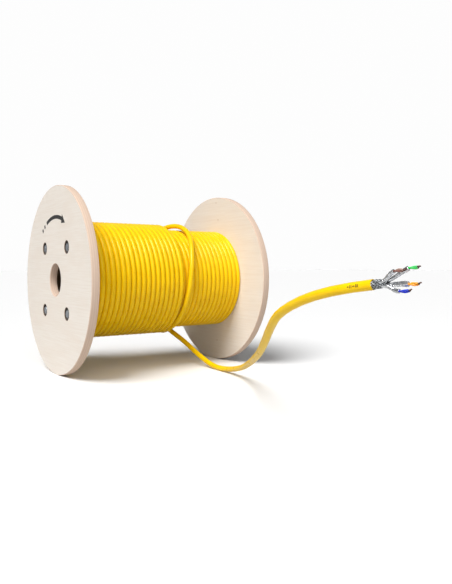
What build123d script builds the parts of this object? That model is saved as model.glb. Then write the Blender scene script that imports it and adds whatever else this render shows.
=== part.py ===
"""Plywood cable drum wound with shielded network cable, its free end stripped.

Two round plywood flanges are held against a barrel tube by four tie rods. The cable fills the
barrel in one whole layer and part of a second. Its last turn is loose, and its free end runs
down to the floor in front and stands up to a stripped tip.

Millimetres. X runs along the drum's axis, Y to the back, Z up. The origin is on the floor,
midway between the flanges and below the axis.
"""

import os
from math import cos, pi, radians, sin, tan

from build123d import *

os.makedirs("parts", exist_ok=True)

# cable and winding
cable_diameter = 7.6
turn_gap = 0.1  # between neighbouring turns
lower_turns = 34  # turns that fill the barrel from flange to flange
upper_turns = 20  # whole turns of the second layer, from the left flange
last_turn_angle = 90.0  # stretch of the second layer's last, part turn, in degrees

# flanges
flange_diameter = 270.0
flange_thickness = 10.8
axle_bore = 47.0
rim_chamfer = 0.6

# barrel tube
barrel_diameter = 140.2
barrel_wall = 2.0
groove_depth = 3.0  # how deep the tube sits in each flange
groove_clearance = 0.2
start_slot_length = 24.0  # where the cable's inner end passes through the wall, beside the flange
start_slot_clearance = 0.4

# tie rods and their fasteners
rod_count = 4
rod_diameter = 6.0
rod_hole_clearance = 0.25
rod_barrel_gap = 0.3
rod_end_inset = 0.4  # rod's end below the flange's outer face
thread_clearance = 0.05
washer_diameter = 18.0
washer_thickness = 1.6
washer_hole_clearance = 0.2
nut_across_flats = 10.0
nut_height = 3.2
recess_clearance = 0.2
recess_spare_depth = 0.6

# stripped end
braid_length = 11.0
braid_start_radius = 3.4
braid_end_radius = 3.1
foil_diameter = 2.6
foil_gap = 0.1
core_diameter = 1.2
core_gap = 0.04
copper_diameter = 0.57

# worked out from the sizes above
turn_pitch = cable_diameter + turn_gap
inner_width = lower_turns * turn_pitch
total_width = inner_width + 2 * flange_thickness
axis_height = flange_diameter / 2
cable_radius = cable_diameter / 2
barrel_radius = barrel_diameter / 2
barrel_bore_radius = barrel_radius - barrel_wall
lower_outer_radius = barrel_radius + cable_diameter
upper_outer_radius = lower_outer_radius + cable_diameter
upper_centre_radius = lower_outer_radius + cable_radius
upper_width = upper_turns * turn_pitch
upper_end = upper_width - inner_width / 2  # across the drum, where the second layer's full turns end
rod_circle_radius = barrel_bore_radius - rod_barrel_gap - rod_diameter / 2
recess_depth = washer_thickness + nut_height + recess_spare_depth
recess_radius = washer_diameter / 2 + recess_clearance
rod_length = total_width - 2 * rod_end_inset


def across(x, side=1):
    """Plane square to the drum's axis, x from the middle, facing right (side 1) or left (-1)."""
    return Plane(origin=(x, 0, axis_height), x_dir=(0, 1, 0), z_dir=(side, 0, 0))


def write(piece, name):
    """Label a finished piece and write it as its own STEP file."""
    piece.part.label = name
    export_step(piece.part, f"parts/{name}.step")


def rod_places():
    """The tie rods' places on their circle, half way between level and upright."""
    return PolarLocations(rod_circle_radius, rod_count, start_angle=180 / rod_count)


# ---- flanges ----
for side_name, side in (("left", -1), ("right", 1)):
    inner_face = across(side * inner_width / 2, side)
    outer_face = across(side * total_width / 2, side)
    with BuildPart() as flange:
        with BuildSketch(inner_face):
            Circle(flange_diameter / 2)
            Circle(axle_bore / 2, mode=Mode.SUBTRACT)
            with rod_places():
                Circle(rod_diameter / 2 + rod_hole_clearance, mode=Mode.SUBTRACT)
        extrude(amount=flange_thickness)
        rims = flange.edges().filter_by(GeomType.CIRCLE).group_by(SortBy.RADIUS)[-1]
        chamfer(rims, length=rim_chamfer)
        with BuildSketch(inner_face):
            Circle(barrel_radius + groove_clearance)
            Circle(barrel_bore_radius - groove_clearance, mode=Mode.SUBTRACT)
        extrude(amount=groove_depth, mode=Mode.SUBTRACT)
        with BuildSketch(outer_face):
            with rod_places():
                Circle(recess_radius)
        extrude(amount=-recess_depth, mode=Mode.SUBTRACT)
    write(flange, f"{side_name}_flange")

# ---- barrel tube ----
with BuildPart() as barrel_tube:
    with BuildSketch(across(-inner_width / 2 - groove_depth)):
        Circle(barrel_radius)
        Circle(barrel_bore_radius, mode=Mode.SUBTRACT)
    extrude(amount=inner_width + 2 * groove_depth)
    slot_centre = (inner_width - turn_pitch) / 2
    with BuildSketch(Plane(origin=(slot_centre, 0, axis_height), x_dir=(0, 0, 1), z_dir=(0, 1, 0))):
        SlotOverall(start_slot_length, cable_diameter + 2 * start_slot_clearance)
    extrude(amount=barrel_diameter, mode=Mode.SUBTRACT)
write(barrel_tube, "barrel_tube")

# ---- tie rods, washers and nuts ----
seat_depth = total_width / 2 - recess_depth  # from the middle to the bottom of the recesses
for number in range(rod_count):
    angle = radians((number + 0.5) * 360 / rod_count)
    rod_y = rod_circle_radius * cos(angle)
    rod_z = rod_circle_radius * sin(angle)
    with BuildPart() as tie_rod:
        with BuildSketch(across(-rod_length / 2)):
            with Locations((rod_y, rod_z)):
                Circle(rod_diameter / 2)
        extrude(amount=rod_length)
    write(tie_rod, f"tie_rod_{number + 1}")
    for side_name, side in (("left", -1), ("right", 1)):
        with BuildPart() as washer:
            with BuildSketch(across(side * seat_depth, side)):
                with Locations((rod_y, rod_z)):
                    Circle(washer_diameter / 2)
                    Circle(rod_diameter / 2 + washer_hole_clearance, mode=Mode.SUBTRACT)
            extrude(amount=washer_thickness)
        write(washer, f"{side_name}_washer_{number + 1}")
        with BuildPart() as nut:
            with BuildSketch(across(side * (seat_depth + washer_thickness), side)):
                with Locations((rod_y, rod_z)):
                    RegularPolygon(nut_across_flats / 2, 6, major_radius=False)
                    Circle(rod_diameter / 2 + thread_clearance, mode=Mode.SUBTRACT)
            extrude(amount=nut_height)
        write(nut, f"{side_name}_nut_{number + 1}")

# ---- wound cable: one closed ring for each layer ----
with BuildPart() as cable_lower_layer:
    with BuildSketch(across(-inner_width / 2)):
        Circle(lower_outer_radius)
        Circle(barrel_radius, mode=Mode.SUBTRACT)
    extrude(amount=inner_width)
write(cable_lower_layer, "cable_lower_layer")

# the last part turn lies beside the full ones and ends flat below the axis, where the loose turn starts
with BuildPart() as cable_upper_layer:
    with BuildSketch(across(-inner_width / 2)):
        Circle(upper_outer_radius)
        Circle(lower_outer_radius, mode=Mode.SUBTRACT)
    extrude(amount=upper_width)
    bottom_plane = Plane(origin=(0, 0, axis_height), x_dir=(1, 0, 0), z_dir=(0, -1, 0))
    with BuildSketch(bottom_plane):
        with Locations((upper_end + turn_pitch / 2, -upper_centre_radius)):
            Rectangle(turn_pitch, cable_diameter)
    revolve(axis=Axis((0, 0, axis_height), (1, 0, 0)), revolution_arc=last_turn_angle)
write(cable_upper_layer, "cable_upper_layer")

# ---- loose turn and free cable ----
# loose turn: degrees from the top towards the front, height above the second layer's cable,
# and drift across the drum from where that layer ends
loose_turn = [
    (146.25, 2.8, 1.0),
    (123.75, 3.8, 2.5),
    (101.25, 4.3, 5.0),
    (78.75, 4.3, 9.0),
    (56.25, 4.1, 17.0),
    (33.75, 3.8, 27.0),
    (11.25, 4.8, 26.5),
    (-11.25, 3.3, 18.5),
    (-33.75, 2.8, 14.5),
    (-56.25, 2.8, 13.0),
    (-78.75, 2.8, 14.0),
    (-101.25, 2.8, 16.0),
    (-123.75, 2.8, 19.0),
    (-146.25, 2.8, 22.0),
    (-168.75, 2.8, 25.0),
]
# free cable: off the drum, down to the floor, forwards along it and up to the stripped end
free_run = [
    (61, -21, 35),
    (67, -53, 17),
    (70, -88, 4),
    (69, -120, 4),
    (62, -157, 10),
    (48, -194, 19),
    (28, -231, 30),
    (6, -267, 40),
    (-17, -301, 49),
    (-38, -334, 59),
    (-58, -365, 69),
    (-76, -394, 82),
    (-95, -425, 99),
    (-114, -460, 118),
    (-122, -519, 137),
    (-116, -560, 142),
]


def around(angle, lift, drift):
    """Point of the loose turn: angle from the top towards the front."""
    radius = upper_centre_radius + lift
    return Vector(
        upper_end + turn_pitch / 2 + drift,
        -radius * sin(radians(angle)),
        axis_height + radius * cos(radians(angle)),
    )


first_step = 11.25  # degrees of the loose turn's first run, which starts level
first_lift = upper_centre_radius / cos(radians(first_step)) - upper_centre_radius
route = [around(180, 0, 0), around(180 - first_step, first_lift, 0)]
route += [around(*place) for place in loose_turn] + [Vector(*place) for place in free_run]
runs = [end - start for start, end in zip(route, route[1:])]
bend_radii = [
    0.45 * min(before.length, after.length) / tan(radians(before.get_angle(after)) / 2)
    for before, after in zip(runs, runs[1:])
]
with BuildPart() as cable_free_end:
    with BuildLine() as cable_path:
        FilletPolyline(*route, radius=bend_radii)
    with BuildSketch(Plane(origin=route[0], z_dir=runs[0])):
        Circle(cable_radius)
    sweep()
write(cable_free_end, "cable_free_end")

path_length = sum(edge.length for edge in cable_path.edges())
print("bend radii:", [round(radius) for radius in bend_radii])
run_lengths = sorted(run.length for run in runs)
print(f"runs: {run_lengths[0]:.0f} to {run_lengths[-1]:.0f} long")
print(f"tube: {path_length:.1f} long, volume over section times length:",
      round(cable_free_end.part.volume / (pi * cable_radius**2 * path_length), 4))

# ---- stripped end: every place is (to the right, up, along) from the jacket's end ----
jacket_end = Plane(origin=route[-1], x_dir=Vector(0, 0, 1).cross(runs[-1]), z_dir=runs[-1])

with BuildPart() as cable_braid:
    with BuildSketch(jacket_end):
        Circle(braid_start_radius)
    with BuildSketch(jacket_end.offset(braid_length)):
        Circle(braid_end_radius)
    loft()
write(cable_braid, "cable_braid")

foil_place = (foil_diameter + foil_gap) / 2  # of the four pairs where they leave the braid
foil_bend = 3.0  # beyond the braid, where a pair starts to spread
# pair: signs of its place in the braid, foil's end, core's length, bare copper's length
pairs = {
    "brown": ((-1, 1), (-2.5, 7.1, 18.0), 8.0, 3.0),
    "green": ((1, 1), (3.0, 8.1, 25.3), 6.0, 3.0),
    "orange": ((1, -1), (1.0, -2.1, 25.5), 6.5, 3.0),
    "blue": ((-1, -1), (-2.0, -6.2, 20.1), 7.0, 3.5),
}
for colour, (signs, foil_end, core_length, copper_length) in pairs.items():
    foil_start = (signs[0] * foil_place, signs[1] * foil_place, braid_length)
    foil_corner = (*foil_start[:2], braid_length + foil_bend)
    places = [jacket_end.from_local_coords(Vector(*place)) for place in (foil_start, foil_corner, foil_end)]
    first_run = places[1] - places[0]
    last_run = places[2] - places[1]
    foil_radius = 0.45 * first_run.length / tan(radians(first_run.get_angle(last_run)) / 2)
    with BuildPart() as pair_foil:
        with BuildLine():
            FilletPolyline(*places, radius=foil_radius)
        with BuildSketch(Plane(origin=places[0], z_dir=first_run)):
            Circle(foil_diameter / 2)
        sweep()
    write(pair_foil, f"{colour}_pair_foil")

    foil_face = Plane(origin=places[2], x_dir=jacket_end.x_dir, z_dir=last_run)
    for core_name, core_side in ((colour, 1), (f"{colour}_white", -1)):
        core_x = core_side * (core_diameter + core_gap) / 2
        with BuildPart() as core:
            with BuildSketch(foil_face):
                with Locations((core_x, 0)):
                    Circle(core_diameter / 2)
            extrude(amount=core_length)
        write(core, f"{core_name}_core")
        with BuildPart() as copper:
            with BuildSketch(foil_face.offset(core_length)):
                with Locations((core_x, 0)):
                    Circle(copper_diameter / 2)
            extrude(amount=copper_length)
        write(copper, f"{core_name}_copper")
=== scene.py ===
import math
import random

import bmesh
import bpy
from mathutils import Matrix, Vector, noise


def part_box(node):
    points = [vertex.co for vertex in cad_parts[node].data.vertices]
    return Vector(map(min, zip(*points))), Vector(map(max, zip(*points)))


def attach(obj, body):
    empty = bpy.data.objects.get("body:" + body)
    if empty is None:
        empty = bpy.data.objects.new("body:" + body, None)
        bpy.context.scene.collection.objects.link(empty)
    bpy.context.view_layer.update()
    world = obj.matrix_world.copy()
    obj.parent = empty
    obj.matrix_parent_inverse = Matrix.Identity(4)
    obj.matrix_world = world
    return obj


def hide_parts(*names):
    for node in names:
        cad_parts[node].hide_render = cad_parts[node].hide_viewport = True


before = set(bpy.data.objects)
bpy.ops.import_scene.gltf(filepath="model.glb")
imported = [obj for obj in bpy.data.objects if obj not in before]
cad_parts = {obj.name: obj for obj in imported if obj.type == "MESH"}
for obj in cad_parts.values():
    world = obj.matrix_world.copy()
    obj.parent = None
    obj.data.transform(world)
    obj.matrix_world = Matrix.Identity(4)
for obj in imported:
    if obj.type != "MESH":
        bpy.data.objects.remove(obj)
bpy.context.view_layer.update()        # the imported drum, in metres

random.seed(7)
mm = 0.001
scene = bpy.context.scene
collection = scene.collection
body = "root"    # nothing on the drum moves against the rest


# camera

cameraSetup = {
    "place": (-0.4251, -0.8283, 0.1541),
    "turn": 34.34,      # degrees from straight back towards the right
    "down": 0.53,       # degrees below level
    "lens": 36.39,
    "shift": (0.0130, -0.0341),
}

cameraData = bpy.data.cameras.new("camera")
cameraData.lens = cameraSetup["lens"]
cameraData.shift_x, cameraData.shift_y = cameraSetup["shift"]
cameraData.clip_start, cameraData.clip_end = 0.02, 50
camera = bpy.data.objects.new("camera", cameraData)
camera.location = cameraSetup["place"]
camera.rotation_euler = (math.radians(90 - cameraSetup["down"]), 0, math.radians(-cameraSetup["turn"]))
collection.objects.link(camera)
scene.camera = camera
print("camera ready")


# sizes of the drum, read from the frame

leftBox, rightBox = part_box("left_flange"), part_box("right_flange")
axisHeight = (leftBox[0][2] + leftBox[1][2]) / 2
flangeRadius = (leftBox[1][1] - leftBox[0][1]) / 2
outerHalf, innerHalf = rightBox[1][0], rightBox[0][0]
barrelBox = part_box("barrel_tube")
barrelRadius = (barrelBox[1][1] - barrelBox[0][1]) / 2


# cable route

cable = {
    "diameter": 7.6 * mm,
    "pitch": 7.7 * mm,
    "lowerTurns": 34,
    "upperTurns": 20,
    "pointsPerTurn": 16,
    "firstPoint": 5,             # of the first turn, counted from the top towards the back
    "lowerStep": (0.25, 0.48),   # part of a turn, from the top, in which a lower turn steps aside
    "upperStep": (0.02, 0.25),
    "wander": 0.12 * mm,         # how far a wound turn strays from its place
    "wanderTurns": 1.7,          # turns over which it does so
}
cable["radius"] = cable["diameter"] / 2
cable["lowerRadius"] = barrelRadius + cable["radius"]
cable["upperRadius"] = cable["lowerRadius"] + cable["diameter"]

# inner end, through the barrel's slot: degrees from the top towards the front, millimetres from the axis
innerEnd = [(-68, 60.3), (-79, 63.3), (-92, 69.8)]

# loose turn: degrees, millimetres above the second layer's cable, drift from that layer's last turn
looseTurn = [
    (146.25, 2.8, 1.0),
    (123.75, 3.8, 2.5),
    (101.25, 4.3, 5.0),
    (78.75, 4.3, 9.0),
    (56.25, 4.1, 17.0),
    (33.75, 3.8, 27.0),
    (11.25, 4.8, 26.5),
    (-11.25, 3.3, 18.5),
    (-33.75, 2.8, 14.5),
    (-56.25, 2.8, 13.0),
    (-78.75, 2.8, 14.0),
    (-101.25, 2.8, 16.0),
    (-123.75, 2.8, 19.0),
    (-146.25, 2.8, 22.0),
    (-168.75, 2.8, 25.0),
]
# free cable, millimetres
freeRun = [
    (61, -21, 35),
    (67, -53, 17),
    (70, -88, 4),
    (69, -120, 4),
    (62, -157, 10),
    (48, -194, 19),
    (28, -231, 30),
    (6, -267, 40),
    (-17, -301, 49),
    (-38, -334, 59),
    (-58, -365, 69),
    (-76, -394, 82),
    (-95, -425, 99),
    (-114, -460, 118),
    (-122, -519, 137),
    (-116, -560, 142),
]


def around(angle, radius, x):
    turn = math.radians(angle)
    return Vector((x, -radius * math.sin(turn), axisHeight + radius * math.cos(turn)))


def easeStep(part, span):
    u = min(max((part - span[0]) / (span[1] - span[0]), 0), 1)
    return u * u * (3 - 2 * u)


def cableRoute():
    count = cable["pointsPerTurn"]
    outward = 1 / math.cos(math.pi / count)   # control points stand outside the turn they make
    firstX = innerHalf - cable["pitch"] / 2
    points = [around(angle, radius * mm, firstX) for angle, radius in innerEnd]
    lower, upper = cable["lowerTurns"], cable["upperTurns"]
    layerEnds = lower + cable["lowerStep"][1]      # turns from the top when the second layer is reached
    windingEnds = lower + upper + 0.5              # the second layer ends below the axis
    number = cable["firstPoint"]
    while number / count < windingEnds - 1e-6:
        turns = number / count
        whole = math.floor(turns)
        part = turns - whole
        if turns < layerEnds:
            moved = min(max(whole - 1 + easeStep(part, cable["lowerStep"]), 0), lower - 1)
            x = firstX - cable["pitch"] * moved
            climb = easeStep(part, cable["lowerStep"]) if whole == lower else 0
            radius = cable["lowerRadius"] + cable["diameter"] * math.sqrt(1 - (1 - climb) ** 2)
        else:
            moved = whole - lower - 1 + easeStep(part, cable["upperStep"]) if whole > lower else 0
            x = -firstX + cable["pitch"] * moved
            radius = cable["upperRadius"]
        x += cable["wander"] * noise.noise((turns / cable["wanderTurns"], 0, 0))
        points.append(around(-360 * part, radius * outward, x))
        number += 1
    lastX = -firstX + cable["pitch"] * upper
    points.append(around(180, cable["upperRadius"], lastX))
    points.append(around(168.75, cable["upperRadius"] * outward, lastX))
    for angle, lift, drift in looseTurn:
        points.append(around(angle, cable["upperRadius"] + lift * mm, lastX + drift * mm))
    points += [Vector(place) * mm for place in freeRun]
    return points


def nurbsLine(name, points, radius=0, steps=4):
    curve = bpy.data.curves.new(name, "CURVE")
    curve.dimensions = "3D"
    spline = curve.splines.new("NURBS")
    spline.points.add(len(points) - 1)
    for point, place in zip(spline.points, points):
        point.co = (*place, 1)
        point.radius = radius    # with a bevel depth of 1, this is the line's own radius in metres
    spline.order_u = 3
    spline.use_endpoint_u = True
    spline.resolution_u = steps
    curve.bevel_depth = 1 if radius else 0
    curve.bevel_resolution = 6    # sixteen sides
    curve.use_fill_caps = True
    piece = bpy.data.objects.new(name, curve)
    collection.objects.link(piece)
    return piece


route = cableRoute()
networkCable = nurbsLine("networkCable", route, cable["radius"])
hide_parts("cable_lower_layer", "cable_upper_layer", "cable_free_end")
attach(networkCable, body)
length = sum(spline.calc_length() for spline in networkCable.data.splines)
print("cable", round(length, 3), "m on", len(route), "points")


# floor and light

studio = {
    "floorSize": 40.0,
    "floorColour": "#FAFAFA",
    "floorBounce": "#CFCFCF",    # as it lights the drum from below and mirrors in metal
    "ambient": 0.11,             # strength of the room's light
    "backdrop": 0.985,           # as seen straight behind the drum
    "gloss": 0.30,               # as mirrored in metal and jacket
    "suns": {                    # direction to the sun, softness in degrees, strength
        "keySun": ((-0.56, -0.22, 0.80), 34, 3.42),
        "frontSun": ((-0.25, -0.62, 0.75), 50, 0.3),
    },
    "boxes": {                   # place, what it faces, size in metres, watts
        "fillBox": ((-0.32, -0.95, 0.62), (0.00, -0.25, 0.07), 0.7, 2.5),
    },
}


def linear(hexColour):
    parts = [int(hexColour[i:i + 2], 16) / 255 for i in (1, 3, 5)]
    return (*[p / 12.92 if p <= 0.04045 else ((p + 0.055) / 1.055) ** 2.4 for p in parts], 1)


def addNode(tree, kind, inputs=None, **settings):
    node = tree.nodes.new(kind)
    for key, value in settings.items():
        setattr(node, key, value)
    for socket, value in (inputs or {}).items():
        if isinstance(value, bpy.types.NodeSocket):
            tree.links.new(value, node.inputs[socket])
        else:
            node.inputs[socket].default_value = value
    return node


def startMaterial(name, **values):
    material = bpy.data.materials.new(name)
    material.use_nodes = True
    tree = material.node_tree
    tree.nodes.clear()
    sockets = {key.replace("_", " "): value for key, value in values.items()}
    shader = addNode(tree, "ShaderNodeBsdfPrincipled", sockets)
    addNode(tree, "ShaderNodeOutputMaterial", {"Surface": shader.outputs["BSDF"]})
    return material, tree, shader


def makeStudio():
    bm = bmesh.new()
    bmesh.ops.create_grid(bm, x_segments=1, y_segments=1, size=studio["floorSize"] / 2)
    mesh = bpy.data.meshes.new("studioFloor")
    bm.to_mesh(mesh)
    bm.free()
    floor = bpy.data.objects.new("studioFloor", mesh)
    collection.objects.link(floor)
    material, tree, shader = startMaterial("paintedFloor", Roughness=0.95)
    # the camera sees a near-white floor, and a darker one lights the drum
    path = addNode(tree, "ShaderNodeLightPath")
    paint = addNode(tree, "ShaderNodeMix", {"Factor": path.outputs["Is Camera Ray"]}, data_type="RGBA")
    paint.inputs["A"].default_value = linear(studio["floorBounce"])
    paint.inputs["B"].default_value = linear(studio["floorColour"])
    tree.links.new(paint.outputs["Result"], shader.inputs["Base Color"])
    mesh.materials.append(material)
    world = bpy.data.worlds.new("studioWorld")
    world.use_nodes = True
    tree = world.node_tree
    background = tree.nodes["Background"]
    seen = addNode(tree, "ShaderNodeLightPath")
    mirrored = addNode(tree, "ShaderNodeMath", {
        0: seen.outputs["Is Glossy Ray"], 1: studio["gloss"] - studio["ambient"], 2: studio["ambient"],
    }, operation="MULTIPLY_ADD")
    strength = addNode(tree, "ShaderNodeMath", {
        0: seen.outputs["Is Camera Ray"], 1: studio["backdrop"] - studio["ambient"], 2: mirrored.outputs[0],
    }, operation="MULTIPLY_ADD")
    background.inputs["Color"].default_value = (1, 1, 1, 1)
    tree.links.new(strength.outputs[0], background.inputs["Strength"])
    scene.world = world
    for name, (towards, softness, power) in studio["suns"].items():
        data = bpy.data.lights.new(name, "SUN")
        data.angle = math.radians(softness)
        data.energy = power
        sun = bpy.data.objects.new(name, data)
        sun.rotation_euler = Vector(towards).to_track_quat("Z", "Y").to_euler()
        collection.objects.link(sun)
    for name, (place, target, size, power) in studio["boxes"].items():
        data = bpy.data.lights.new(name, "AREA")
        data.size = size
        data.energy = power
        box = bpy.data.objects.new(name, data)
        box.location = place
        box.rotation_euler = (Vector(place) - Vector(target)).to_track_quat("Z", "Y").to_euler()
        collection.objects.link(box)
    scene.view_settings.view_transform = "Standard"


makeStudio()
print("studio ready")


# materials

def objectSpace(tree, scale=(1, 1, 1)):
    coordinates = addNode(tree, "ShaderNodeTexCoord")
    mapping = addNode(tree, "ShaderNodeMapping", {"Vector": coordinates.outputs["Object"], "Scale": scale})
    return mapping.outputs["Vector"]


def perMetre(size):
    return 1 / (size * mm)


def patternSpace(tree, sizes):
    # object space scaled for a pattern of these sizes in millimetres along X, Y and Z
    return objectSpace(tree, [perMetre(size) for size in sizes])


def twoTone(tree, factor, first, second, low=0.35, high=0.65):
    spread = addNode(tree, "ShaderNodeMapRange", {"Value": factor, "From Min": low, "From Max": high})
    mixed = addNode(tree, "ShaderNodeMix", {"Factor": spread.outputs["Result"]}, data_type="RGBA")
    mixed.inputs["A"].default_value = linear(first)
    mixed.inputs["B"].default_value = linear(second)
    return mixed.outputs["Result"]


veneer = {
    "pale": "#E6DED4",
    "warm": "#DDD1C3",
    "figureWarm": "#E1D5C8",
    "grain": (2.0, 60.0, 1.3),     # millimetres through the sheet, along the grain and across it
    "figure": (40.0, 130.0, 26.0),
    "fibre": (0.6, 9.0, 0.35),
    "fibreDepth": 0.05,
    "knotColour": "#A98C72",
    "knots": [                     # on the flanges' inner faces
        (innerHalf, -13.2 * mm, 232.0 * mm),
        (innerHalf, -7.3 * mm, 260.9 * mm),
        (innerHalf, -10.3 * mm, 31.0 * mm),
        (-innerHalf, -58.0 * mm, 236.0 * mm),
    ],
    "knotSize": (1.6, 0.4),        # radius where a knot starts, and of its dark middle
}


def makeVeneer():
    # sanded birch ply: near white, matt, with a faint grain that runs from front to back
    material, tree, shader = startMaterial("birchVeneer", Roughness=0.62, IOR=1.5)
    grain = addNode(tree, "ShaderNodeTexNoise", {
        "Vector": patternSpace(tree, veneer["grain"]),
        "Scale": 1.0, "Detail": 5.0, "Roughness": 0.6, "Distortion": 0.4,
    })
    figure = addNode(tree, "ShaderNodeTexNoise", {
        "Vector": patternSpace(tree, veneer["figure"]),
        "Scale": 1.0, "Detail": 3.0, "Roughness": 0.5, "Distortion": 1.2,
    })
    fibre = addNode(tree, "ShaderNodeTexNoise", {
        "Vector": patternSpace(tree, veneer["fibre"]),
        "Scale": 1.0, "Detail": 2.0,
    })
    colour = twoTone(tree, grain.outputs["Fac"], veneer["pale"], veneer["warm"], 0.42, 0.85)
    cloud = addNode(tree, "ShaderNodeMapRange", {
        "Value": figure.outputs["Fac"], "From Min": 0.45, "From Max": 0.7, "To Max": 0.55})
    toned = addNode(tree, "ShaderNodeMix", {
        "Factor": cloud.outputs["Result"], "A": colour}, data_type="RGBA")
    toned.inputs["B"].default_value = linear(veneer["figureWarm"])
    colour = toned.outputs["Result"]
    place = addNode(tree, "ShaderNodeTexCoord").outputs["Object"]
    start, middle = veneer["knotSize"]
    for knot in veneer["knots"]:
        away = addNode(tree, "ShaderNodeVectorMath", {0: place, 1: knot}, operation="DISTANCE")
        spot = addNode(tree, "ShaderNodeMapRange", {
            "Value": away.outputs["Value"], "From Min": start * mm, "From Max": middle * mm, "To Max": 0.75})
        knotted = addNode(tree, "ShaderNodeMix", {
            "Factor": spot.outputs["Result"], "A": colour}, data_type="RGBA")
        knotted.inputs["B"].default_value = linear(veneer["knotColour"])
        colour = knotted.outputs["Result"]
    tree.links.new(colour, shader.inputs["Base Color"])
    bump = addNode(tree, "ShaderNodeBump", {
        "Height": fibre.outputs["Fac"], "Strength": 0.25, "Distance": veneer["fibreDepth"] * mm})
    tree.links.new(bump.outputs["Normal"], shader.inputs["Normal"])
    return material


plyEdge = {
    "ply": 1.54,                 # millimetres, seven plies in a flange
    "along": "#DDC5B1",          # a ply seen along its grain
    "across": "#D6BCA8",         # a ply's end grain
    "pore": (3.0, 0.7, 0.7),
    "poreDepth": 0.12,
}


def makePlyEdge():
    # sawn edge of the same board: seven plies, pale ones along the grain between darker end grain
    material, tree, shader = startMaterial("birchPlyEdge", Roughness=0.78, IOR=1.5)
    parts = addNode(tree, "ShaderNodeSeparateXYZ", {"Vector": objectSpace(tree)})
    width = addNode(tree, "ShaderNodeMath", {0: parts.outputs["X"]}, operation="ABSOLUTE")
    depth = addNode(tree, "ShaderNodeMath", {0: width.outputs[0], 1: innerHalf}, operation="SUBTRACT")
    turns = addNode(tree, "ShaderNodeMath", {
        0: depth.outputs[0], 1: math.pi * perMetre(plyEdge["ply"])}, operation="MULTIPLY")
    wave = addNode(tree, "ShaderNodeMath", {0: turns.outputs[0]}, operation="SINE")
    pores = addNode(tree, "ShaderNodeTexNoise", {
        "Vector": patternSpace(tree, plyEdge["pore"]),
        "Scale": 1.0, "Detail": 4.0, "Roughness": 0.65,
    })
    # pores squared, so that the strong ones tell, on top of the plies' stripes
    blend = addNode(tree, "ShaderNodeMath", {
        0: pores.outputs["Fac"], 1: pores.outputs["Fac"], 2: wave.outputs[0]}, operation="MULTIPLY_ADD")
    colour = twoTone(tree, blend.outputs[0], plyEdge["across"], plyEdge["along"], 0.3, 1.1)
    tree.links.new(colour, shader.inputs["Base Color"])
    bump = addNode(tree, "ShaderNodeBump", {
        "Height": pores.outputs["Fac"], "Strength": 0.4, "Distance": plyEdge["poreDepth"] * mm})
    tree.links.new(bump.outputs["Normal"], shader.inputs["Normal"])
    return material


# painted shade for the flanges' recesses and rod holes: two dark browns, and the size of their random mottle
# in millimetres
recessShade = {"dark": "#37322E", "light": "#5B5048", "shadeMottle": 1.2}


def makePaintedRecessShade():
    # painted shade in the flanges' recesses and rod holes: the same board drawn dark brown with a random
    # mottle, matt
    material, tree, shader = startMaterial("paintedRecessShade", Roughness=0.85, IOR=1.5)
    shadeMottle = addNode(tree, "ShaderNodeTexNoise", {
        "Vector": objectSpace(tree), "Scale": perMetre(recessShade["shadeMottle"]), "Detail": 4.0})
    colour = twoTone(tree, shadeMottle.outputs["Fac"], recessShade["dark"], recessShade["light"])
    tree.links.new(colour, shader.inputs["Base Color"])
    return material


kraft = {
    "light": "#B9A186",
    "dark": "#A08B74",
    "seam": 138.0,         # millimetres as a wave texture counts them, which sets the seams 43 mm apart
    "waver": 0.45,         # how fast a seam wavers round the tube, against along it
    "pulp": 1.5,
}


def makeKraft():
    # wound kraft board: brown, matt, with seams that waver round the tube
    material, tree, shader = startMaterial("kraftBoard", Roughness=0.85, IOR=1.5)
    seams = addNode(tree, "ShaderNodeTexWave", {
        "Vector": objectSpace(tree, (1.0, kraft["waver"], kraft["waver"])),
        "Scale": perMetre(kraft["seam"]), "Distortion": 0.6, "Detail": 2.0,
    }, bands_direction="X")
    pulp = addNode(tree, "ShaderNodeTexNoise", {
        "Vector": objectSpace(tree), "Scale": perMetre(kraft["pulp"]), "Detail": 4.0})
    tone = addNode(tree, "ShaderNodeMath", {
        0: seams.outputs["Fac"], 1: 0.4, 2: pulp.outputs["Fac"]}, operation="MULTIPLY_ADD")
    colour = twoTone(tree, tone.outputs[0], kraft["dark"], kraft["light"], 0.3, 1.0)
    tree.links.new(colour, shader.inputs["Base Color"])
    return material


zinc = {"base": "#B4B9BE", "shade": "#8C9197", "spangle": 0.8}


def makeZinc():
    # bright zinc plate on steel: grey metal, slightly mottled, satin
    material, tree, shader = startMaterial("zincPlate", Metallic=1.0)
    spangle = addNode(tree, "ShaderNodeTexNoise", {
        "Vector": objectSpace(tree), "Scale": perMetre(zinc["spangle"]), "Detail": 3.0})
    colour = twoTone(tree, spangle.outputs["Fac"], zinc["shade"], zinc["base"])
    tree.links.new(colour, shader.inputs["Base Color"])
    rough = addNode(tree, "ShaderNodeMapRange", {
        "Value": spangle.outputs["Fac"], "To Min": 0.26, "To Max": 0.44})
    tree.links.new(rough.outputs["Result"], shader.inputs["Roughness"])
    return material


jacket = {
    "base": "#F8CC08",
    "deep": "#F3C406",
    "cloud": 14.0,         # millimetres, slow change of tone along the extrusion
    "skin": 1.1,           # millimetres, the extruded skin's ripple, drawn coarser than it is
    "skinDepth": 0.02,
}


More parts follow.
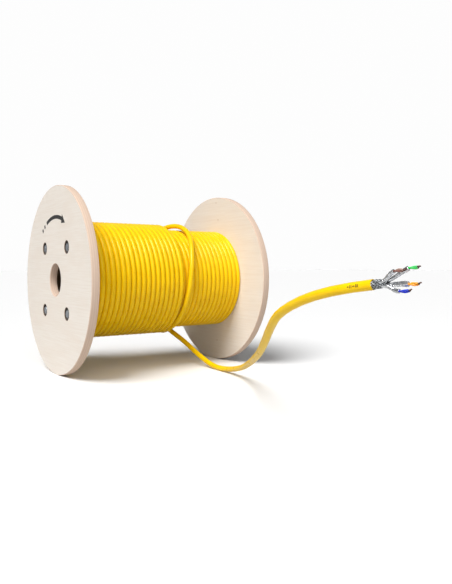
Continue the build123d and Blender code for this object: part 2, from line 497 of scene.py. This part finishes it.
def makeJacket():
    # extruded halogen-free jacket: strong yellow, semi-gloss, with a very light ripple
    material, tree, shader = startMaterial("halogenFreeJacket", IOR=1.5, Specular_IOR_Level=0.22)
    cloud = addNode(tree, "ShaderNodeTexNoise", {
        "Vector": objectSpace(tree), "Scale": perMetre(jacket["cloud"]), "Detail": 3.0})
    skin = addNode(tree, "ShaderNodeTexNoise", {
        "Vector": objectSpace(tree), "Scale": perMetre(jacket["skin"]), "Detail": 2.0})
    colour = twoTone(tree, cloud.outputs["Fac"], jacket["deep"], jacket["base"])
    tree.links.new(colour, shader.inputs["Base Color"])
    rough = addNode(tree, "ShaderNodeMapRange", {
        "Value": cloud.outputs["Fac"], "To Min": 0.24, "To Max": 0.34})
    tree.links.new(rough.outputs["Result"], shader.inputs["Roughness"])
    bump = addNode(tree, "ShaderNodeBump", {
        "Height": skin.outputs["Fac"], "Strength": 0.03, "Distance": jacket["skinDepth"] * mm})
    tree.links.new(bump.outputs["Normal"], shader.inputs["Normal"])
    return material


def makeDrawnWire(name, light, dark, streak, roughness):
    # drawn metal wire: bright metal with slight streaks and tarnish
    material, tree, shader = startMaterial(name, Metallic=1.0, Roughness=roughness)
    tarnish = addNode(tree, "ShaderNodeTexNoise", {
        "Vector": objectSpace(tree), "Scale": perMetre(streak), "Detail": 3.0, "Roughness": 0.6})
    colour = twoTone(tree, tarnish.outputs["Fac"], dark, light, 0.3, 0.7)
    tree.links.new(colour, shader.inputs["Base Color"])
    return material


foilSkin = {
    "dull": "#B6B8BA",
    "bright": "#E2E3E5",
    "patch": 1.6,          # millimetres from a dull patch to a bright one
    "facet": 0.9,          # size of a crumple
    "facetDepth": 0.15,
}


def makeFoil():
    # aluminium on polyester film: mirror-like but crumpled, so it glitters in patches
    material, tree, shader = startMaterial("aluminisedFoil", Metallic=1.0, Roughness=0.24)
    crumple = addNode(tree, "ShaderNodeTexVoronoi", {
        "Vector": objectSpace(tree), "Scale": perMetre(foilSkin["facet"]), "Randomness": 1.0}, feature="F1")
    tone = addNode(tree, "ShaderNodeTexNoise", {
        "Vector": objectSpace(tree), "Scale": perMetre(foilSkin["patch"]), "Detail": 2.0})
    colour = twoTone(tree, tone.outputs["Fac"], foilSkin["dull"], foilSkin["bright"])
    tree.links.new(colour, shader.inputs["Base Color"])
    bump = addNode(tree, "ShaderNodeBump", {
        "Height": crumple.outputs["Distance"], "Strength": 0.5, "Distance": foilSkin["facetDepth"] * mm})
    tree.links.new(bump.outputs["Normal"], shader.inputs["Normal"])
    return material


def makeShadedFoil():
    # the same foil deep in the braid's shadow: dark grey, dull
    material, tree, shader = startMaterial("shadedFoil", Metallic=1.0, Roughness=0.5)
    shader.inputs["Base Color"].default_value = linear("#3A3C3F")
    return material


def makeCoreSkin(name, colour, deep):
    # foamed polyethylene skin on a core: smooth and waxy
    material, tree, shader = startMaterial(name, Roughness=0.33, IOR=1.51)
    cloud = addNode(tree, "ShaderNodeTexNoise", {
        "Vector": objectSpace(tree), "Scale": perMetre(1.2), "Detail": 2.0})
    mixed = twoTone(tree, cloud.outputs["Fac"], deep, colour)
    tree.links.new(mixed, shader.inputs["Base Color"])
    return material


def makeInk(name, dark, worn):
    # printed ink: matt, worn thin in places
    material, tree, shader = startMaterial(name, Roughness=0.7, IOR=1.45)
    wear = addNode(tree, "ShaderNodeTexNoise", {
        "Vector": objectSpace(tree, (1, 0.3, 1)), "Scale": perMetre(1.4), "Detail": 4.0, "Roughness": 0.7})
    colour = twoTone(tree, wear.outputs["Fac"], dark, worn, 0.45, 0.7)
    tree.links.new(colour, shader.inputs["Base Color"])
    return material


birchVeneer, birchPlyEdge, paintedRecessShade = makeVeneer(), makePlyEdge(), makePaintedRecessShade()
kraftBoard, zincPlate, cableSkin = makeKraft(), makeZinc(), makeJacket()
stampInk = makeInk("stampInk", "#262626", "#3E3C3A")
jacketInk = makeInk("jacketInk", "#5A4A12", "#A88C1A")
tinnedWire = makeDrawnWire("tinnedCopperWire", "#B4B7BA", "#6C6F73", 0.6, 0.3)
bareCopper = makeDrawnWire("tarnishedCopper", "#72544B", "#372926", 0.5, 0.42)
aluminisedFoil, shadedFoil = makeFoil(), makeShadedFoil()
coreSkins = {       # each pair's coloured core, and its partner in a paler tint
    "brown": makeCoreSkin("brownPolyethylene", "#8E6054", "#70493F"),
    "green": makeCoreSkin("greenPolyethylene", "#22CC50", "#10AC3C"),
    "orange": makeCoreSkin("orangePolyethylene", "#FFA00C", "#F28A00"),
    "blue": makeCoreSkin("bluePolyethylene", "#1530CC", "#0A1C96"),
    "brownPartner": makeCoreSkin("paleBrownPolyethylene", "#B99C90", "#A5867A"),
    "greenPartner": makeCoreSkin("paleGreenPolyethylene", "#62DC84", "#48CC6C"),
    "orangePartner": makeCoreSkin("paleOrangePolyethylene", "#FFB63E", "#F5A32C"),
    "bluePartner": makeCoreSkin("paleBluePolyethylene", "#3E58E0", "#2C44CC"),
}
networkCable.data.materials.append(cableSkin)
print("materials ready")


# mesh helpers

def ring(bm, radius, x, count, centre=(0, 0)):
    # a circle round a line along X; centre is back and up from the drum's axis
    place = Matrix.Translation((x, centre[0], axisHeight + centre[1])) @ Matrix.Rotation(math.pi / 2, 4, "Y")
    verts = bmesh.ops.create_circle(bm, radius=radius, segments=count, matrix=place)["verts"]
    return list(dict.fromkeys(edge for vert in verts for edge in vert.link_edges))


def wall(bm, first, second, smooth, material):
    faces = bmesh.ops.bridge_loops(bm, edges=first + second)["faces"]
    for face in faces:
        face.smooth = smooth
        face.material_index = material


def sheet(bm, loops, material=0):
    edges = [edge for loop in loops for edge in loop]
    made = bmesh.ops.triangle_fill(bm, edges=edges, use_beauty=True, normal=(1, 0, 0))["geom"]
    for face in made:
        if isinstance(face, bmesh.types.BMFace):
            face.smooth = False
            face.material_index = material


def finishPiece(name, bm, materials, replaced=()):
    bmesh.ops.recalc_face_normals(bm, faces=bm.faces)
    mesh = bpy.data.meshes.new(name)
    bm.to_mesh(mesh)
    bm.free()
    for material in materials:
        mesh.materials.append(material)
    piece = bpy.data.objects.new(name, mesh)
    collection.objects.link(piece)
    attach(piece, body)
    if replaced:
        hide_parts(*replaced)
    return piece


# flanges

flange = {
    "bore": 23.5,
    "boreEdge": 0.5,          # rounded edges, millimetres
    "rimEdge": 0.7,
    "recess": 9.2,
    "recessDepth": 5.4,
    "recessEdge": 0.3,
    "rods": 4,
    "rodHole": 3.4,
    "barrelWall": 2.0,
    "grooveGap": 0.2,
    "grooveDepth": 3.0,
    "rimSteps": 256,
    "holeSteps": 64,
}
rodPlaces = []          # back and up from the axis
for number in range(1, flange["rods"] + 1):
    low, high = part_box(f"tie_rod_{number}")
    rodPlaces.append(((low[1] + high[1]) / 2, (low[2] + high[2]) / 2 - axisHeight))


def roundedWall(bm, radius, outerX, innerX, edge, count, outward):
    # a wall with both its edges rounded; outward is 1 for a rim and -1 for a hole
    towards = 1 if innerX > outerX else -1
    loops = []
    for x, way in ((outerX, towards), (innerX, -towards)):
        corner = []
        for step in range(4):
            angle = math.pi / 2 * step / 3
            shrink, shift = edge * (1 - math.sin(angle)), edge * (1 - math.cos(angle))
            corner.append((radius - outward * shrink, x + way * shift))
        loops += corner if x == outerX else corner[::-1]
    made = [ring(bm, size, x, count) for size, x in loops]
    for first, second in zip(made, made[1:]):
        wall(bm, first, second, True, 1)
    return made[0], made[-1]


def makeFlange(name, side, node):
    bm = bmesh.new()
    outerX, innerX = side * outerHalf, side * innerHalf
    holes = flange["holeSteps"]
    rim = roundedWall(bm, flangeRadius, outerX, innerX, flange["rimEdge"] * mm, flange["rimSteps"], 1)
    bore = roundedWall(bm, flange["bore"] * mm, outerX, innerX, flange["boreEdge"] * mm, holes * 2, -1)
    outerLoops, innerLoops = [rim[0], bore[0]], [bore[1]]
    floorX = outerX - side * flange["recessDepth"] * mm
    for centre in rodPlaces:
        edge = flange["recessEdge"] * mm
        top = ring(bm, flange["recess"] * mm + edge, outerX, holes, centre)
        below = ring(bm, flange["recess"] * mm, outerX - side * edge, holes, centre)
        foot = ring(bm, flange["recess"] * mm, floorX, holes, centre)
        holeTop = ring(bm, flange["rodHole"] * mm, floorX, holes, centre)
        holeEnd = ring(bm, flange["rodHole"] * mm, innerX, holes, centre)
        wall(bm, top, below, False, 1)
        # the recess's wall and floor and the rod's hole take the painted shade
        wall(bm, below, foot, True, 2)
        sheet(bm, [foot, holeTop], 2)
        wall(bm, holeTop, holeEnd, True, 2)
        outerLoops.append(top)
        innerLoops.append(holeEnd)
    grooveX = innerX + side * flange["grooveDepth"] * mm
    gap, thick = flange["grooveGap"] * mm, flange["barrelWall"] * mm
    sizes = (barrelRadius - thick - gap, barrelRadius + gap)
    inside, outside = [[ring(bm, size, x, holes * 2) for x in (innerX, grooveX)] for size in sizes]
    wall(bm, inside[0], inside[1], True, 1)
    wall(bm, outside[0], outside[1], True, 1)
    sheet(bm, [inside[1], outside[1]], 1)
    sheet(bm, outerLoops)
    sheet(bm, innerLoops + [inside[0]])
    sheet(bm, [outside[0], rim[1]])
    finishPiece(name, bm, [birchVeneer, birchPlyEdge, paintedRecessShade], [node])


for word, side in (("left", -1), ("right", 1)):
    makeFlange(f"{word}Flange", side, f"{word}_flange")
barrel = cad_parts["barrel_tube"]
barrel.data.materials.clear()
barrel.data.materials.append(kraftBoard)
print("flanges ready")


# tie rods, washers and nuts

fastener = {
    "rod": 3.0,             # radii in millimetres
    "rodCore": 2.55,
    "threadPitch": 1.0,
    "threadLength": 14.0,
    "rodInset": 0.4,
    "rodPoint": [(0.0, -0.3), (0.35, 0.05)],    # its cut end's slope: in from the end, out from the core
    "washer": 9.0,
    "washerHole": 3.2,
    "washerThick": 1.6,
    "washerEdge": 0.2,
    "nutFlats": 5.0,        # half the width across flats
    "nutHeight": 3.2,
    "nutChamfer": (0.45, 0.15),    # height of the slope, and how far its foot is inside the flats
    "nutHole": 2.65,
    "nutMouth": 0.5,        # countersink of the nut's hole
    "steps": 48,
}


def turned(bm, profile, centre, steps):
    # a full turn of a profile of (x, radius) points; a profile that ends where it starts closes itself
    closed = profile[0] == profile[-1]
    points = profile[:-1] if closed else profile
    height = axisHeight + centre[1]
    verts = [bm.verts.new((x, centre[0], height + radius * mm)) for x, radius in points]
    edges = [bm.edges.new(pair) for pair in zip(verts, verts[1:])]
    if closed:
        edges.append(bm.edges.new((verts[-1], verts[0])))
    bmesh.ops.spin(bm, geom=verts + edges, cent=(0, centre[0], height), axis=(1, 0, 0), dvec=(0, 0, 0),
                   angle=2 * math.pi, steps=steps, use_merge=True, use_duplicate=False)


def makeRod(number, centre):
    bm = bmesh.new()
    end = outerHalf - fastener["rodInset"] * mm
    crest, root, pitch = fastener["rod"], fastener["rodCore"], fastener["threadPitch"] * mm
    half = [(end - back * mm, root + out) for back, out in fastener["rodPoint"]]
    for turn in range(int(fastener["threadLength"] * mm / pitch)):
        start = end - (0.5 + turn) * pitch
        half += [(start, root), (start - 0.4 * pitch, crest), (start - 0.6 * pitch, crest)]
    half.append((half[-1][0] - pitch, crest))
    profile = half + [(-x, radius) for x, radius in half[::-1]]
    turned(bm, profile, centre, fastener["steps"] // 2)
    bmesh.ops.holes_fill(bm, edges=[edge for edge in bm.edges if edge.is_boundary])
    finishPiece(f"tieRod{number}", bm, [zincPlate], [f"tie_rod_{number}"])


def makeWasher(name, side, centre, node):
    bm = bmesh.new()
    floorX = outerHalf - flange["recessDepth"] * mm
    top = floorX + fastener["washerThick"] * mm
    outer, inner, edge = fastener["washer"], fastener["washerHole"], fastener["washerEdge"]
    profile = [
        (floorX, inner), (floorX, outer), (top - edge * mm, outer), (top, outer - edge), (top, inner + edge),
        (top - edge * mm, inner), (floorX, inner),
    ]
    turned(bm, [(side * x, radius) for x, radius in profile], centre, fastener["steps"])
    finishPiece(name, bm, [zincPlate], [node])


def makeNut(name, side, centre, node, turn):
    bm = bmesh.new()
    foot = outerHalf - (flange["recessDepth"] - fastener["washerThick"]) * mm
    top = foot + fastener["nutHeight"] * mm
    flats, hole, mouth = fastener["nutFlats"], fastener["nutHole"], fastener["nutMouth"]
    slope, inside = fastener["nutChamfer"]
    corner = flats / math.cos(math.pi / 6)
    profile = [
        (foot, hole), (foot, flats - inside), (foot + slope * mm, corner), (top - slope * mm, corner),
        (top, flats - inside), (top, hole + mouth), (top - mouth * mm, hole), (foot, hole),
    ]
    turned(bm, [(side * x, radius) for x, radius in profile], centre, fastener["steps"])
    middle = Vector((0, centre[0], axisHeight + centre[1]))
    for vert in bm.verts:      # cut the six flats
        away = Vector((0, vert.co.y, vert.co.z)) - middle
        if away.length > flats * mm:
            angle = (math.atan2(away.z, away.y) + turn) % (math.pi / 3) - math.pi / 6
            away.length = min(away.length, flats * mm / math.cos(angle))
            vert.co.y, vert.co.z = middle.y + away.y, middle.z + away.z
    finishPiece(name, bm, [zincPlate], [node])


for number, place in enumerate(rodPlaces, 1):
    makeRod(number, place)
    for word, side in (("left", -1), ("right", 1)):
        makeWasher(f"{word}Washer{number}", side, place, f"{word}_washer_{number}")
        makeNut(f"{word}Nut{number}", side, place, f"{word}_nut_{number}", random.uniform(0, 1))
print("fasteners ready")


# unrolling mark on the left flange: a curved arrow and two bars

rollMark = {
    "radius": 90.0,          # middle of the arrow's band, millimetres from the axis
    "band": 5.5,
    "from": -24.0,           # degrees from the top, minus is towards the back
    "to": 17.0,
    "head": (15.0, 13.0),    # length and width of the arrow's head
    "tipInward": 1.0,        # the tip stands this much nearer the axis than the band's middle
    "bars": [(-30.0, 3.2), (-36.5, 3.2)],    # place from the top and width, both in degrees
    "proud": 0.04,
    "thick": 0.03,
    "steps": 40,
    "barSteps": 6,
}


def bandOf(bm, start, end, inner, outer, x, steps):
    # a piece of a ring on the flange's face, spun from one straight edge
    ends = [bm.verts.new(around(start, radius * mm, x)) for radius in (inner, outer)]
    edge = bm.edges.new(ends)
    bmesh.ops.spin(bm, geom=ends + [edge], cent=(x, 0, axisHeight), axis=(1, 0, 0), dvec=(0, 0, 0),
                   angle=math.radians(end - start), steps=steps, use_duplicate=False)


def makeRollMark():
    bm = bmesh.new()
    x = -outerHalf - rollMark["proud"] * mm
    inner, outer = rollMark["radius"] - rollMark["band"] / 2, rollMark["radius"] + rollMark["band"] / 2
    bandOf(bm, rollMark["from"], rollMark["to"], inner, outer, x, rollMark["steps"])
    for angle, width in rollMark["bars"]:
        bandOf(bm, angle - width / 2, angle + width / 2, inner, outer, x, rollMark["barSteps"])
    length, width = rollMark["head"]
    tip = rollMark["to"] + math.degrees(length / rollMark["radius"])
    corners = [
        around(rollMark["to"], (rollMark["radius"] - width / 2) * mm, x),
        around(tip, (rollMark["radius"] - rollMark["tipInward"]) * mm, x),
        around(rollMark["to"], (rollMark["radius"] + width / 2) * mm, x),
    ]
    bm.faces.new([bm.verts.new(corner) for corner in corners])
    bmesh.ops.recalc_face_normals(bm, faces=bm.faces)
    for face in bm.faces:
        if face.normal.x > 0:
            face.normal_flip()
    bmesh.ops.solidify(bm, geom=bm.faces[:], thickness=rollMark["thick"] * mm)
    finishPiece("rollMark", bm, [stampInk])


makeRollMark()
print("roll mark ready")


# stripped end of the cable

lineEnd = route[-1]
endAlong = (route[-1] - route[-2]).normalized()
endRight = Vector((0, 0, 1)).cross(endAlong).normalized()
endUp = endAlong.cross(endRight)


def atEnd(right, up, along):
    # millimetres to the right of the jacket's end, above it and beyond it
    return lineEnd + (endRight * right + endUp * up + endAlong * along) * mm


def linePoints(places, steps):
    guide = nurbsLine("guide", places, 0, steps)
    bpy.context.view_layer.update()
    mesh = bpy.data.meshes.new_from_object(guide)
    points = [vert.co.copy() for vert in mesh.vertices]
    curve = guide.data
    bpy.data.objects.remove(guide)
    bpy.data.curves.remove(curve)
    bpy.data.meshes.remove(mesh)
    return points


def carriedFrames(points):
    # each point with a sideways and an upward direction that don't twist along the line
    frames, side = [], endRight
    for number, place in enumerate(points):
        ahead = points[min(number + 1, len(points) - 1)] - points[max(number - 1, 0)]
        ahead.normalize()
        side = (side - ahead * side.dot(ahead)).normalized()
        frames.append((place, side, ahead.cross(side)))
    return frames


def runLengths(frames):
    # millimetres along the line at each frame
    lengths = [0.0]
    for (first, _, _), (second, _, _) in zip(frames, frames[1:]):
        lengths.append(lengths[-1] + (second - first).length / mm)
    return lengths


def sweep(bm, frames, sides, outline):
    # rolls a grid into a tube along the frames; outline(run, angle) gives the radii to the side and upwards
    rings = len(frames)
    grid = bmesh.ops.create_grid(bm, x_segments=rings - 1, y_segments=sides, size=1)["verts"]
    for vert in grid:
        row = round((vert.co.x + 1) / 2 * (rings - 1))
        angle = math.pi * (vert.co.y + 1)
        place, side, up = frames[row]
        right, rise = outline(row / (rings - 1), angle)
        vert.co = place + side * right + up * rise
    bmesh.ops.remove_doubles(bm, verts=grid, dist=1e-7)
    for face in bm.faces:
        face.smooth = True
    ends = [edge for edge in bm.edges if edge.is_boundary]
    for face in bmesh.ops.holes_fill(bm, edges=ends)["faces"]:
        face.smooth = False


def roundOutline(radius):
    # outline of a plain wire or core, its radius in millimetres
    def outline(run, angle):
        return radius * mm * math.cos(angle), radius * mm * math.sin(angle)

    return outline


braid = {
    "length": 11.0,
    "startRadius": 3.45,
    "endRadius": 3.0,
    "carriers": 8,           # in each direction
    "wires": 4,              # side by side in a carrier
    "wire": 0.13,            # a wire's radius, drawn thicker than the real 0.06 so that the weave shows
    "lift": 0.16,            # how far a carrier rises over the one it crosses
    "lay": 20.0,             # millimetres for one turn
    "samples": 44,
    "spacing": 2.1,          # radii of a wire from one to the next
    "inside": 1.2,           # hidden under the jacket
    "ragged": 0.9,
}


def braidRadius(along):
    u = min(max(along / braid["length"], 0), 1)
    u = u * u * (3 - 2 * u)
    return braid["startRadius"] * (1 - u) + braid["endRadius"] * u


def makeBraid():
    curve = bpy.data.curves.new("shieldBraid", "CURVE")
    curve.dimensions = "3D"
    step = 2 * math.pi / braid["carriers"]
    span = braid["samples"] - 1
    for direction in (1, -1):
        for carrier in range(braid["carriers"]):
            start = (carrier if direction > 0 else carrier + 0.5) * step
            for wire in range(braid["wires"]):
                offset = (wire - (braid["wires"] - 1) / 2) * braid["wire"] * braid["spacing"]
                finish = braid["length"] + random.uniform(-braid["ragged"], braid["ragged"])
                spline = curve.splines.new("POLY")
                spline.points.add(span)
                for number, point in enumerate(spline.points):
                    along = -braid["inside"] + (finish + braid["inside"]) * number / span
                    turn = 2 * math.pi * along / braid["lay"]
                    over = direction * math.cos(braid["carriers"] * turn + math.pi * carrier)
                    radius = braidRadius(along) - braid["lift"] - braid["wire"] + braid["lift"] * over
                    angle = start + direction * (turn + offset / radius)
                    point.co = (*atEnd(radius * math.cos(angle), radius * math.sin(angle), along), 1)
                    point.radius = braid["wire"] * mm
    curve.bevel_depth = 1
    curve.bevel_resolution = 1
    curve.use_fill_caps = True
    curve.materials.append(tinnedWire)
    piece = bpy.data.objects.new("shieldBraid", curve)
    collection.objects.link(piece)
    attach(piece, body)
    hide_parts("cable_braid")
    return piece


bundle = {
    "from": -1.0,            # millimetres from the jacket's end
    "length": 11.0,
    "gap": 0.1,              # between the bundle and the braid
    "hollow": 0.06,          # share of the radius lost between two foils
    "samples": 23,
    "sides": 32,
}


def makeBraidCore():
    # the four foils seen through the braid, as one bundle in painted shade: dark grey
    bm = bmesh.new()
    step = bundle["length"] / (bundle["samples"] - 1)
    places = [atEnd(0, 0, bundle["from"] + step * number) for number in range(bundle["samples"])]
    inwards = 2 * braid["lift"] + 2 * braid["wire"] + bundle["gap"]

    def outline(run, angle):
        radius = (braidRadius(bundle["from"] + bundle["length"] * run) - inwards) * mm
        radius *= 1 - bundle["hollow"] * (1 - abs(math.cos(2 * angle)))
        return radius * math.cos(angle), radius * math.sin(angle)

    sweep(bm, carriedFrames(places), bundle["sides"], outline)
    return finishPiece("braidCore", bm, [shadedFoil])


# each pair, in atEnd's places: the way its foil runs and the way its cores go on; then the foil's width and
# height, the length of a wrap, the angle the cores start at, and its two bare tips from the cores' ends
pairs = {
    "brown": {
        "foil": [(-1.2, 1.2, 7), (-1.5, 1.6, 10), (-1.9, 3.6, 12.6), (-2.2, 6.0, 15.2), (-2.5, 7.1, 18.0)],
        "cores": [(-2.6, 7.35, 20.5), (-2.9, 7.1, 23.5), (-3.1, 7.0, 25.4)],
        "size": (1.4, 1.55), "wrap": 2.0, "turn": 2.6,
        "tips": [((-0.2, 0.9, 1.0), (-0.3, 1.5, 1.5)), ((0.4, 0.1, 1.2), (1.0, -0.1, 2.0))],
    },
    "green": {
        "foil": [(1.2, 1.2, 7), (1.3, 1.5, 10.5), (1.2, 2.6, 14.2), (2.2, 5.8, 20.2), (3.0, 8.1, 25.3)],
        "cores": [(3.2, 8.3, 27.2), (3.5, 8.0, 29.6), (3.7, 8.0, 31.2)],
        "size": (1.65, 1.35), "wrap": 3.4, "turn": 2.4,
        "tips": [((-0.2, 0.7, 1.0), (-0.3, 1.2, 1.5)), ((0.6, 0.2, 1.2), (1.2, -0.2, 1.9))],
    },
    "orange": {
        "foil": [(1.2, -1.2, 7), (1.2, -1.2, 11), (1.1, -1.2, 15), (1.0, -1.6, 20.5), (1.0, -2.1, 25.5)],
        "cores": [(1.1, -2.2, 27.5), (1.2, -2.7, 29.8), (1.3, -2.7, 31.8)],
        "size": (1.75, 1.35), "wrap": 7.0, "turn": 2.8,
        "tips": [((-0.2, 0.8, 1.0), (-0.2, 1.3, 1.6)), ((0.6, 0.4, 1.2), (1.2, 0.3, 2.1))],
    },
    "blue": {
        "foil": [
            (-1.2, -1.2, 7), (-1.1, -1.6, 10), (-1.0, -3.1, 13.2), (-1.4, -5.6, 16.6), (-2.0, -6.2, 20.1),
        ],
        "cores": [(-2.2, -6.4, 22.0), (-2.5, -6.6, 25.0), (-2.7, -6.5, 27.2)],
        "size": (1.4, 1.45), "wrap": 4.6, "turn": 2.5,
        "tips": [((-0.3, 0.8, 1.1), (-0.2, 1.4, 1.6)), ((0.5, 0.4, 1.2), (1.1, 0.4, 2.0))],
    },
}
strand = {
    "core": 0.62,            # radii, millimetres
    "copper": 0.42,
    "apart": 1.02,           # a pair's cores stand this many radii from their own middle line
    "twist": 15.0,           # millimetres for one turn of a pair
    "bared": (1.2, 0.4),     # how far a tip starts inside its core, and how far it then runs straight
    "foilStep": 0.14,        # the lap of the foil's wrap
    "crumple": 0.06,
    "creases": (1.6, 1.1),   # crumples round the foil, and their length in millimetres
    "flare": 0.10,           # how much flatter and wider the foil ends than it starts
    "roll": 9.0,             # millimetres for a radian of the flat foil's own turn
    "tucked": 0.8,           # cores start this far inside the foil
}


def makeFoilTube(colour, pair):
    bm = bmesh.new()
    frames = carriedFrames(linePoints([atEnd(*place) for place in pair["foil"]], 24))
    width, height = pair["size"]
    whole = runLengths(frames)[-1]
    girth, crease = strand["creases"]

    def outline(run, angle):
        along = run * whole
        lap = (angle / (2 * math.pi) + along / pair["wrap"]) % 1
        size = 1 + strand["foilStep"] * (lap - 0.5) * min(1, (1 - lap) * 9)    # the step is steep, not sheer
        place = (math.cos(angle) * girth, math.sin(angle) * girth, along / crease + width * 50)
        size += strand["crumple"] * noise.noise(place)
        spread = 1 + strand["flare"] * run
        turn = pair["turn"] + along / strand["roll"]
        right, up = width * spread * size * math.cos(angle), height / spread * size * math.sin(angle)
        across = right * math.cos(turn) - up * math.sin(turn)
        upwards = right * math.sin(turn) + up * math.cos(turn)
        return across * mm, upwards * mm

    sweep(bm, frames, 40, outline)
    return finishPiece(f"{colour}Foil", bm, [aluminisedFoil], [f"{colour}_pair_foil"])


def makeStrands(colour, pair):
    made = []
    foilEnd = Vector(pair["foil"][-1])
    back = (Vector(pair["foil"][-2]) - foilEnd).normalized() * strand["tucked"]
    places = [foilEnd + back, foilEnd] + [Vector(place) for place in pair["cores"]]
    frames = carriedFrames(linePoints([atEnd(*place) for place in places], 16))
    away = strand["core"] * strand["apart"] * mm
    inside, straight = strand["bared"]
    for number, (skin, node) in enumerate(((colour, colour), (f"{colour}Partner", f"{colour}_white"))):
        points = []
        for along, (place, side, up) in zip(runLengths(frames), frames):
            angle = pair["turn"] + math.pi * number + 2 * math.pi * along / strand["twist"]
            points.append(place + (side * math.cos(angle) + up * math.sin(angle)) * away)
        bm = bmesh.new()
        sweep(bm, carriedFrames(points), 20, roundOutline(strand["core"]))
        made.append(finishPiece(f"{skin}Core", bm, [coreSkins[skin]], [f"{node}_core"]))
        end = points[-1]
        ahead = (points[-1] - points[-4]).normalized()
        tips = [end - ahead * inside * mm, end, end + ahead * straight * mm]
        for right, up, along in pair["tips"][number]:
            tips.append(end + (endRight * right + endUp * up + endAlong * along) * mm)
        bm = bmesh.new()
        sweep(bm, carriedFrames(linePoints(tips, 10)), 14, roundOutline(strand["copper"]))
        made.append(finishPiece(f"{skin}Copper", bm, [bareCopper], [f"{node}_copper"]))
    return made


endPieces = [makeBraid(), makeBraidCore()]
for colour, pair in pairs.items():
    endPieces.append(makeFoilTube(colour, pair))
    endPieces += makeStrands(colour, pair)
print("stripped end ready")


# marks printed on the jacket, as plain bars

jacketMarks = {
    "bars": [                # millimetres from the jacket's end, length, height round the jacket
        (9.6, 0.6, 2.3),
        (10.8, 0.9, 2.3),
        (12.4, 1.9, 0.8),
        (15.0, 0.6, 2.3),
        (16.2, 0.6, 2.3),
        (17.4, 1.3, 0.8),
    ],
    "facing": 168.0,         # degrees round the cable, from the right over the top
    "proud": 0.03,
    "thick": 0.05,
}


def makeJacketMarks():
    bm = bmesh.new()
    frames = carriedFrames(linePoints(route[-6:], 64))[::-1]
    steps = runLengths(frames)
    radius = cable["radius"] + jacketMarks["proud"] * mm
    for start, size, height in jacketMarks["bars"]:
        grid = bmesh.ops.create_grid(bm, x_segments=6, y_segments=6, size=1)["verts"]
        for vert in grid:
            along = start + size * (vert.co.x + 1) / 2
            number = next(i for i, step in enumerate(steps) if step >= along)
            share = (along - steps[number - 1]) / (steps[number] - steps[number - 1])
            place = frames[number - 1][0].lerp(frames[number][0], share)
            side, up = frames[number][1], frames[number][2]
            angle = math.radians(jacketMarks["facing"]) + vert.co.y * height / 2 * mm / radius
            vert.co = place + (side * math.cos(angle) + up * math.sin(angle)) * radius
    bmesh.ops.recalc_face_normals(bm, faces=bm.faces)
    bmesh.ops.solidify(bm, geom=bm.faces[:], thickness=jacketMarks["thick"] * mm)
    return finishPiece("jacketMarks", bm, [jacketInk])


endPieces.append(makeJacketMarks())
print("cable ready, with", len(endPieces), "pieces on its end")
